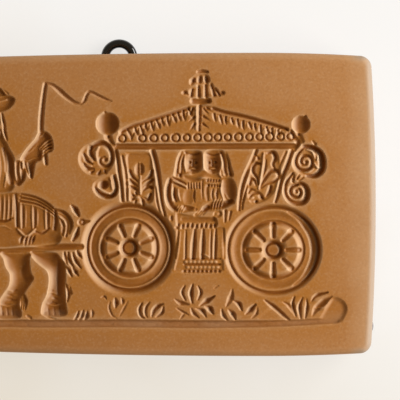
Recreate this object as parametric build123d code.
"""Butter mold: a carved board with a sunk wedding-coach picture, a hanging ring and wall bumpers.

The board is drawn in its own frame first: X along the board towards the coach's back, Y up the
picture, Z = 0 on the flat back and the print face at the board's thickness. Every piece is then
shifted as one into the part's frame, whose origin is the middle of the footprint on the table.
All sizes are in millimetres and all angles in degrees.
"""

from build123d import *
import math
import os

# ---------------------------------------------------------------- driving sizes
# Board: a slightly bowed rectangle, a little lower at its left end.
board_half_length = 97.9
board_left_half_height = 54.3
board_right_top = 56.1
board_right_bottom = 56.6
board_top_crown = 57.55
board_bottom_crown = 57.85
crown_x = 56.0
board_thickness = 16.0
end_bow = 1.2
corner_radius = 3.6
face_edge_radius = 2.5
back_edge_chamfer = 0.8

# Hanging ring, bent from round wire.
ring_outer_diameter = 14.1
ring_wire_diameter = 3.4
ring_stand_out = 6.1

# Hanger strap: sheet steel folded round the ring and screwed down through both leaves.
strap_thickness = 0.7
strap_neck_width = 4.4
strap_tail_width = 8.0
strap_tail_length = 19.0
strap_straight_length = 7.0
strap_shoulder_length = 3.0
strap_leaf_gap = 0.08
fold_clearance = 0.15
fold_exit_angle = -150.0
fold_inside_bend = 0.6

# Wood screws that hold the strap.
screw_shank_diameter = 2.4
screw_head_diameter = 4.6
screw_head_height = 1.3
screw_head_crown = 0.3
screw_head_flat = 0.8
screw_length = 10.0
screw_hole_clearance = 0.06
screw_spacing = 7.0
screw_end_margin = 3.6

# Rubber wall bumpers behind the two lower corners; they are as tall as the hanger, so the
# board lies level on a table and hangs parallel to a wall.
bumper_diameter = 8.0
bumper_top_chamfer = 0.6
bumper_center_height = -46.7
bumper_peek = 0.4

# Carving: everything is sunk into the print face.
draft_angle = 18.0
groove_floor_inset = 0.3
bowl_facets = 10
scroll_chips = 5
tyre_lip = 1.4
felloe_width = 3.2
felloe_lip = 1.6
spoke_width = 1.9
spoke_end_gap = 0.5
hub_floor_share = 0.6
shallow = 0.8
low_relief = 1.4
mid_relief = 2.0
deep_relief = 2.8

# ---------------------------------------------------------------- derived sizes
ring_mean_radius = (ring_outer_diameter - ring_wire_diameter) / 2
ring_inner_radius = ring_outer_diameter / 2 - ring_wire_diameter
neck_half = strap_neck_width / 2
# Where the neck's edge crosses the inside of the round ring.
ring_chord_reach = math.sqrt(ring_inner_radius**2 - neck_half**2)
fold_inner_radius = (ring_outer_diameter / 2 - ring_chord_reach) / 2 + fold_clearance
fold_to_ring_center = (ring_outer_diameter / 2 + ring_chord_reach) / 2
hanger_height = strap_thickness + 2 * fold_inner_radius + strap_thickness
# How far the bowed top edge has dropped from its crown at the ring.
top_drop = board_top_crown - board_left_half_height
edge_drop_at_ring = top_drop * (crown_x / (crown_x + board_half_length - end_bow)) ** 2
ring_center_y = board_top_crown - edge_drop_at_ring + ring_stand_out - ring_outer_diameter / 2
fold_y = ring_center_y - fold_to_ring_center
fold_z = -strap_thickness - fold_inner_radius
leaves_thickness = 2 * strap_thickness + strap_leaf_gap
screw_first_y = fold_y - strap_tail_length + screw_end_margin

part_shift = Pos(0, -(ring_center_y + ring_outer_diameter / 2 - board_bottom_crown) / 2, hanger_height)


# ---------------------------------------------------------------- cutters for the carving
def on_face(shape, x, y, turn=0.0):
    """Move a cutter drawn at the origin, face plane at Z = 0, to its place on the print face."""
    return Pos(x, y, board_thickness) * Rot(0, 0, turn) * shape


def groove(x0, y0, x1, y1, width, depth):
    """A straight chip-carved groove with drafted walls and pointed ends, run end to end."""
    half_run = math.hypot(x1 - x0, y1 - y0) / 2
    half_width = width / 2
    turn = math.degrees(math.atan2(y1 - y0, x1 - x0))
    right_side = [(half_run, -half_width), (half_run + half_width, 0), (half_run, half_width)]
    outline = right_side + [(-x, -y) for x, y in right_side]
    narrow_draft = math.degrees(math.atan(groove_floor_inset * width / depth))
    cutter = extrude(make_face(Polyline(*outline, close=True)), amount=-depth,
                     taper=min(draft_angle, narrow_draft))
    return on_face(cutter, (x0 + x1) / 2, (y0 + y1) / 2, turn)


def pocket(outline, depth):
    """A sunk area with drafted walls cut straight from corner to corner of its outline."""
    face = make_face(Polyline(*outline, close=True))
    return on_face(extrude(face, amount=-depth, taper=draft_angle), 0, 0)


def bowl(x, y, half_x, half_y, depth, turn=0.0):
    """A dished hollow cut in broad gouge facets, oval in outline and steepest at its rim."""
    levels = []
    for share, level in ((1.0, 0.0), (0.84, 0.55), (0.5, 1.0)):
        angles = [2 * math.pi * index / bowl_facets for index in range(bowl_facets)]
        rim = [(half_x * share * math.cos(a), half_y * share * math.sin(a)) for a in angles]
        levels.append(Pos(0, 0, -depth * level) * make_face(Polyline(*rim, close=True)))
    return on_face(loft(levels, ruled=True), x, y, turn)


def turned(x, y, profile):
    """A turned recess: a closed (radius, depth) outline spun about a vertical axis."""
    points = [(radius, -depth) for radius, depth in profile]
    outline = make_face(Plane.XZ * Polyline(*points, close=True))
    return on_face(revolve(outline, axis=Axis.Z), x, y)


def scroll(x, y, radius, start, span, width, depth):
    """A scroll cut as chips, each one a straight groove along a chord of the curl."""
    cutters = []
    chip_span = span / scroll_chips
    for index in range(scroll_chips):
        first = math.radians(start + index * chip_span)
        last = math.radians(start + (index + 1) * chip_span)
        cutters.append(groove(x + radius * math.cos(first), y + radius * math.sin(first),
                              x + radius * math.cos(last), y + radius * math.sin(last), width, depth))
    return cutters


# ---------------------------------------------------------------- board
def board_blank():
    """The board before carving: gently bowed edges, rounded corners and rounded arrises."""
    left = -board_half_length + end_bow
    right = board_half_length - end_bow
    top_crown = (crown_x, board_top_crown)
    low_crown = (crown_x, -board_bottom_crown)
    top_left = (left, board_left_half_height)
    low_left = (left, -board_left_half_height)
    top_right = (right, board_right_top)
    low_right = (right, -board_right_bottom)
    with BuildPart() as blank:
        with BuildSketch():
            with BuildLine():
                TangentArc(top_crown, top_left, tangent=(-1, 0))
                TangentArc(top_crown, top_right, tangent=(1, 0))
                TangentArc(low_crown, low_left, tangent=(-1, 0))
                TangentArc(low_crown, low_right, tangent=(1, 0))
                ThreePointArc(top_right, (board_half_length, 0), low_right)
                ThreePointArc(top_left, (-board_half_length, 0), low_left)
            make_face()
        extrude(amount=board_thickness)
        corners = blank.edges().filter_by(Axis.Z).filter_by(lambda edge: abs(edge.center().X - crown_x) > 1)
        fillet(corners, corner_radius)
        fillet(blank.faces().sort_by(Axis.Z)[-1].edges(), face_edge_radius)
        chamfer(blank.faces().sort_by(Axis.Z)[0].edges(), back_edge_chamfer)
    return blank.part


def wheel(x, y, rim_radius, hub_radius, first_spoke, spokes=8):
    """A coach wheel: a sunk tyre and felloe, spokes and a hub, each with drafted walls."""
    felloe_outside = rim_radius - tyre_lip
    felloe_inside = felloe_outside - felloe_width
    panel_radius = felloe_inside - felloe_lip
    rim = turned(x, y, [
        (rim_radius, 0.0),
        (felloe_outside, low_relief),
        (felloe_inside, shallow),
        (panel_radius, 0.0),
    ])
    hub = turned(x, y, [
        (0.0, 0.0),
        (hub_radius, 0.0),
        (hub_radius * hub_floor_share, mid_relief),
        (0.0, mid_relief),
    ])
    cutters = [rim, hub]
    inner = hub_radius - spoke_end_gap
    outer = panel_radius - spoke_end_gap
    for index in range(spokes):
        angle = math.radians(first_spoke + index * 360.0 / spokes)
        cosine = math.cos(angle)
        sine = math.sin(angle)
        cutters.append(groove(x + inner * cosine, y + inner * sine,
                              x + outer * cosine, y + outer * sine, spoke_width, low_relief))
    return cutters


def coach_roof():
    """The tented roof with its rails and beam, the crown finial and a ball at each corner."""
    beam_y = 21.8
    field = [(-0.6, 23.6), (1.2, 28.4), (10.0, 31.4), (27.0, 36.8), (31.2, 37.6), (35.0, 36.8),
             (48.0, 33.4), (64.0, 28.6), (66.8, 23.6)]
    cutters = [
        pocket(field, shallow),
        groove(0.6, beam_y, 66.6, beam_y, 2.3, low_relief),
        groove(2.0, 28.4, 26.6, 36.0, 1.6, low_relief),
        groove(35.8, 36.0, 64.2, 28.0, 1.6, low_relief),
        groove(67.0, 22.8, 65.8, 26.8, 2.0, mid_relief),
        groove(30.8, 28.6, 30.8, 35.8, 1.3, low_relief),
        groove(28.4, 39.1, 34.2, 39.1, 2.6, mid_relief),
        groove(30.0, 50.3, 33.8, 50.3, 1.4, low_relief),
        bowl(-4.1, 30.5, 4.3, 4.3, deep_relief),
        bowl(69.2, 30.2, 3.7, 3.7, deep_relief),
        groove(-4.6, 25.4, -3.0, 25.2, 1.9, low_relief),
        groove(68.2, 26.2, 69.0, 26.2, 1.8, low_relief),
    ]
    for foot_x, foot_y, tip_x, tip_y in ((27.9, 41.4, 27.3, 43.2), (30.5, 41.4, 30.4, 44.0),
                                         (33.2, 41.4, 33.0, 44.6), (36.2, 41.6, 35.4, 44.6),
                                         (28.0, 46.0, 28.6, 47.4), (30.8, 46.2, 31.0, 48.2),
                                         (33.6, 46.2, 33.2, 48.2)):
        cutters.append(groove(foot_x, foot_y, tip_x, tip_y, 1.5, low_relief))
    return cutters


def coach_body():
    """The posts, the scrolls beside them and the leaf sprigs that fill the two panels."""
    cutters = [
        groove(-0.9, 19.6, 1.4, 2.0, 1.4, low_relief),
        groove(1.9, 17.0, 3.1, 2.0, 1.2, shallow),
        groove(13.2, 19.0, 15.4, 8.0, 1.8, mid_relief),
        groove(15.4, 8.0, 17.2, -3.6, 1.2, low_relief),
        groove(51.8, 19.2, 47.4, 8.6, 1.7, low_relief),
        groove(47.4, 8.6, 46.0, -1.4, 1.5, low_relief),
        groove(65.4, 19.2, 60.2, 2.2, 1.7, low_relief),
    ]
    cutters += scroll(-7.6, 17.3, 5.6, 80.0, -230.0, 2.2, mid_relief)
    cutters += scroll(-5.0, 6.4, 3.6, 60.0, -240.0, 1.8, mid_relief)
    cutters += scroll(71.8, 16.2, 5.6, 110.0, -230.0, 2.4, mid_relief)
    cutters += scroll(67.5, 4.3, 4.1, 100.0, -250.0, 2.0, mid_relief)
    for root_x, root_y, tip_x in ((8.2, 1.6, 9.0), (53.0, 1.6, 58.6)):
        cutters.append(groove(root_x, root_y, tip_x, root_y + 13.4, 1.1, shallow))
        for side in (-1, 1):
            for leaf in range(2):
                reach = 3.9 - 0.3 * leaf
                foot_x = root_x + (tip_x - root_x) * leaf / 4
                foot_y = root_y + 2.0 + 3.6 * leaf
                cutters.append(groove(foot_x + side * 1.1, foot_y + 0.6,
                                      foot_x + side * reach, foot_y + 3.4, 1.4, low_relief))
    return cutters


def couple():
    """The wedding couple between the wheels: heads, long hair, coats with bent arms, and the skirt."""
    left_hair = [(25.6, 20.2), (22.8, 19.8), (20.8, 12.6), (21.8, 10.4), (25.2, 12.0)]
    right_hair = [(38.6, 20.2), (40.4, 19.4), (43.2, 12.0), (42.8, 9.8), (39.0, 10.8)]
    left_coat = [(20.4, 10.4), (31.4, 9.4), (31.8, 2.0), (30.6, -2.0), (22.0, -2.8), (18.2, 0.6), (18.0, 8.0)]
    right_coat = [(33.4, 9.6), (41.8, 10.8), (44.6, 7.0), (44.4, 2.6), (40.2, -1.8), (34.0, -2.4)]
    sash = [(23.0, -4.2), (38.0, -4.0), (38.4, -7.6), (22.8, -8.0)]
    skirt = [(24.0, -9.2), (39.8, -8.8), (40.0, -25.6), (20.4, -25.6), (22.4, -12.0)]
    cutters = [
        bowl(28.5, 16.2, 3.3, 4.3, mid_relief),
        bowl(35.9, 16.2, 3.4, 4.4, mid_relief),
        pocket(left_hair, low_relief),
        pocket(right_hair, low_relief),
        pocket(left_coat, low_relief),
        pocket(right_coat, low_relief),
        pocket(sash, shallow),
        pocket(skirt, shallow),
        groove(19.4, 7.4, 19.6, 0.4, 2.2, mid_relief),
        groove(43.2, 7.6, 42.4, 1.6, 2.4, mid_relief),
        groove(25.6, -1.4, 30.4, -2.4, 2.0, mid_relief),
        groove(38.8, -0.4, 33.4, -1.8, 2.2, mid_relief),
    ]
    for top_x, hem_x, width in ((28.2, 27.2, 1.9), (31.9, 31.7, 1.9), (36.6, 36.8, 1.7)):
        cutters.append(groove(top_x, -11.0, hem_x, -20.0, width, low_relief))
    cutters.append(groove(25.4, -23.0, 38.4, -23.0, 1.2, low_relief))
    return cutters


def horse_and_rider():
    """The harnessed horse in mid stride with its shaft and bound tail, and the rider with a whip."""
    barrel = [(-21.8, -8.0), (-24.6, -1.4), (-31.0, 2.4), (-40.0, 4.0), (-57.0, 4.6), (-66.0, 7.4),
              (-69.8, 2.0), (-68.0, -7.0), (-62.0, -13.0), (-50.0, -15.8), (-28.0, -15.8), (-22.6, -13.4)]
    neck_and_head = [(-58.0, 4.0), (-62.0, 14.0), (-68.0, 21.8), (-74.0, 25.2), (-78.4, 23.8), (-80.4, 18.0),
                     (-83.0, 11.0), (-81.4, 8.8), (-78.2, 9.8), (-74.6, 13.0), (-71.4, 9.0), (-69.6, 1.0)]
    legs = [
        [(-43.6, -16.6), (-41.0, -27.0), (-41.6, -31.4), (-45.4, -38.4), (-45.6, -43.0), (-37.6, -43.0),
         (-37.2, -38.0), (-32.6, -28.4), (-33.6, -16.6)],
        [(-32.2, -16.6), (-26.4, -26.8), (-26.6, -32.6), (-28.6, -38.6), (-28.2, -42.4), (-20.6, -42.4),
         (-20.4, -23.6), (-24.0, -16.6)],
        [(-66.0, -9.0), (-67.4, -34.0), (-70.0, -42.4), (-62.6, -42.4), (-59.4, -12.0)],
        [(-58.0, -13.0), (-53.8, -25.0), (-54.8, -34.0), (-58.2, -42.4), (-51.2, -42.4), (-50.8, -34.0),
         (-48.8, -25.0), (-51.0, -14.0)],
    ]
    coat = [(-41.8, 20.8), (-39.2, 13.0), (-40.0, 5.2), (-50.0, 3.0), (-55.0, 7.0), (-54.4, 18.0),
            (-50.2, 26.2), (-45.2, 26.4)]
    hat = [(-39.8, 39.6), (-42.2, 36.2), (-50.0, 35.0), (-56.8, 39.2), (-52.8, 39.8), (-51.0, 43.8),
           (-45.6, 43.8)]
    elbow = [(-40.2, 8.4), (-37.6, 7.2), (-35.4, 9.6), (-36.0, 14.8), (-38.4, 13.0)]
    arm_and_fist = [(-29.8, 27.0), (-26.2, 25.8), (-25.2, 20.6), (-29.4, 16.6), (-32.8, 10.6), (-36.6, 15.4),
                    (-35.0, 20.4)]
    cutters = [pocket(outline, mid_relief) for outline in (barrel, neck_and_head, coat, arm_and_fist, *legs)]
    cutters += [pocket(outline, low_relief) for outline in (hat, elbow)]
    cutters += [
        bowl(-48.4, 31.0, 3.4, 3.8, mid_relief),
        groove(-29.4, 28.4, -28.0, 44.8, 1.7, low_relief),
        groove(-27.8, 18.0, -27.5, 16.0, 1.5, low_relief),
        groove(-26.2, 45.4, -21.0, 41.8, 1.7, low_relief),
        groove(-20.0, 40.9, -15.6, 38.4, 1.5, low_relief),
        groove(-13.6, 38.6, -11.6, 42.0, 1.1, shallow),
        groove(-10.4, 42.4, -3.6, 39.3, 1.1, shallow),
        groove(-82.0, -18.2, -30.0, -17.4, 1.8, low_relief),
        groove(-30.0, -17.0, -15.4, -16.3, 2.6, low_relief),
        groove(-21.8, -3.8, -19.2, -7.2, 2.4, low_relief),
        groove(-19.2, -7.2, -20.0, -12.4, 2.4, low_relief),
        groove(-17.4, -1.4, -15.6, -4.0, 2.0, low_relief),
        groove(-15.6, -10.0, -17.0, -13.0, 1.9, low_relief),
        groove(-14.6, -6.9, -12.0, -6.7, 1.9, low_relief),
    ]
    for root_x, tip_x in ((-19.0, -17.6), (-17.2, -15.0)):
        cutters.append(groove(root_x, -19.2, tip_x, -23.6, 1.6, low_relief))
    return cutters


def ground():
    """The strip of ground under the wheels with its grass, leaves and tulip."""
    strip_y = -45.7
    cutters = [
        groove(-84.6, strip_y, 82.0, strip_y, 2.8, low_relief),
        pocket([(75.0, -44.4), (81.4, -35.6), (85.2, -36.6), (86.8, -39.6), (83.6, -44.6)], shallow),
    ]
    for foot_x, foot_y, tip_x, tip_y in ((25.0, -35.8, 24.6, -32.2), (28.0, -36.6, 28.2, -31.8),
                                         (30.6, -35.6, 31.0, -32.4), (32.6, -37.8, 35.4, -35.8),
                                         (38.4, -40.2, 42.0, -33.6), (45.6, -42.0, 45.2, -37.8),
                                         (48.8, -41.6, 51.6, -37.8), (57.0, -37.6, 62.6, -42.2),
                                         (66.4, -43.0, 64.6, -37.4), (70.0, -43.4, 70.4, -36.0),
                                         (73.4, -41.4, 79.4, -36.2)):
        cutters.append(groove(foot_x, foot_y, tip_x, tip_y, 1.6, low_relief))
    return cutters


def screw_places():
    """The screws' centres on the back, in a line below the fold."""
    return [(0.0, screw_first_y), (0.0, screw_first_y + screw_spacing)]


def mold_board():
    """The carved board with the screws' blind pilot holes in its back."""
    board = board_blank()
    cutters = []
    cutters += wheel(4.1, -16.7, 17.5, 3.8, 22.5)
    cutters += wheel(58.8, -17.5, 18.0, 4.2, 0.0)
    cutters += coach_roof()
    cutters += coach_body()
    cutters += couple()
    cutters += horse_and_rider()
    cutters += ground()
    pilot_radius = screw_shank_diameter / 2 + screw_hole_clearance
    pilot_depth = screw_length - leaves_thickness + 2 * screw_hole_clearance
    for x, y in screw_places():
        cutters.append(Pos(x, y, pilot_depth / 2) * Cylinder(pilot_radius, pilot_depth))
    return board - cutters


# ---------------------------------------------------------------- hanger
def hanging_ring():
    """The round wire ring, lying level through the strap's fold."""
    wire_radius = ring_wire_diameter / 2
    with BuildSketch(Plane.XZ) as section:
        with BuildLine():
            CenterArc((ring_mean_radius, 0), wire_radius, 0, 180)
            CenterArc((ring_mean_radius, 0), wire_radius, 180, 180)
        make_face()
    return Pos(0, ring_center_y, fold_z) * revolve(section.sketch, axis=Axis.Z)


def hanger_strap():
    """The folded strap: upper leaf on the board, round fold, and a lower leaf back over it."""
    tail_y = fold_y - strap_tail_length
    upper_leaf_z = -strap_thickness / 2
    lower_leaf_z = upper_leaf_z - strap_thickness - strap_leaf_gap
    fold_mid_radius = fold_inner_radius + strap_thickness / 2
    exit_angle = math.radians(fold_exit_angle)
    exit_y = fold_y + fold_mid_radius * math.cos(exit_angle)
    exit_z = fold_z + fold_mid_radius * math.sin(exit_angle)
    # The strap leaves the fold along its tangent and meets the lower leaf's line.
    meet_y = exit_y - (lower_leaf_z - exit_z) * math.tan(exit_angle + math.pi)
    bend_radius = fold_inside_bend + strap_thickness / 2
    with BuildPart() as strap:
        with BuildSketch(Plane.YZ.offset(-strap_tail_width / 2)):
            with BuildLine():
                Line((tail_y, upper_leaf_z), (fold_y, upper_leaf_z))
                CenterArc((fold_y, fold_z), fold_mid_radius, 90, fold_exit_angle - 90)
                FilletPolyline((exit_y, exit_z), (meet_y, lower_leaf_z), (tail_y, lower_leaf_z),
                               radius=bend_radius)
            trace(line_width=strap_thickness)
        extrude(amount=strap_tail_width)
        with BuildSketch(Plane.XY.offset(-hanger_height - 1)):
            with Locations((0, tail_y + strap_tail_width / 2)):
                Circle(strap_tail_width / 2)
            with Locations((0, tail_y + strap_tail_width / 2)):
                Rectangle(strap_tail_width, strap_straight_length, align=(Align.CENTER, Align.MIN))
            shoulder_y = tail_y + strap_tail_width / 2 + strap_straight_length
            neck_y = shoulder_y + strap_shoulder_length
            with BuildLine():
                Polyline((-strap_tail_width / 2, shoulder_y), (strap_tail_width / 2, shoulder_y),
                         (neck_half, neck_y), (-neck_half, neck_y), close=True)
            make_face()
            with Locations((0, neck_y)):
                Rectangle(strap_neck_width, strap_tail_length, align=(Align.CENTER, Align.MIN))
        extrude(amount=hanger_height + 2, mode=Mode.INTERSECT)
        hole_radius = screw_shank_diameter / 2 + screw_hole_clearance
        with Locations(*[(x, y, -leaves_thickness / 2) for x, y in screw_places()]):
            Cylinder(hole_radius, 2 * leaves_thickness, mode=Mode.SUBTRACT)
    return strap.part


def hanger_screw(x, y):
    """One flat-topped pan-head wood screw, driven up through both leaves into the back."""
    shank_radius = screw_shank_diameter / 2
    head_radius = screw_head_diameter / 2
    point_length = screw_shank_diameter
    shank_top = screw_length - leaves_thickness
    outline = Plane.XZ * Polyline(
        (0, -leaves_thickness - screw_head_height),
        (head_radius * screw_head_flat, -leaves_thickness - screw_head_height),
        (head_radius, -leaves_thickness - screw_head_height + screw_head_crown),
        (head_radius, -leaves_thickness),
        (shank_radius, -leaves_thickness),
        (shank_radius, shank_top - point_length),
        (0, shank_top),
        close=True,
    )
    return Pos(x, y, 0) * revolve(make_face(outline), axis=Axis.Z)


def wall_bumper(side):
    """A rubber bumper behind a lower corner; side is -1 on the left and 1 on the right."""
    radius = bumper_diameter / 2
    outline = Plane.XZ * Polyline(
        (0, -hanger_height),
        (radius - bumper_top_chamfer, -hanger_height),
        (radius, -hanger_height + bumper_top_chamfer),
        (radius, 0),
        (0, 0),
        close=True,
    )
    side_at_bumper = board_half_length - end_bow * (bumper_center_height / board_right_bottom) ** 2
    x = side * (side_at_bumper + bumper_peek - radius)
    return Pos(x, bumper_center_height, 0) * revolve(make_face(outline), axis=Axis.Z)


# ---------------------------------------------------------------- assembly
nodes = {
    "mold_board": mold_board(),
    "hanging_ring": hanging_ring(),
    "hanger_strap": hanger_strap(),
    "hanger_screws": Compound([hanger_screw(x, y) for x, y in screw_places()]),
    "left_wall_bumper": wall_bumper(-1),
    "right_wall_bumper": wall_bumper(1),
}

os.makedirs("parts", exist_ok=True)
for name, shape in nodes.items():
    export_step(part_shift * shape, f"parts/{name}.step")
print("hinge axis at y, z:", (part_shift * Pos(0, fold_y, fold_z)).position)
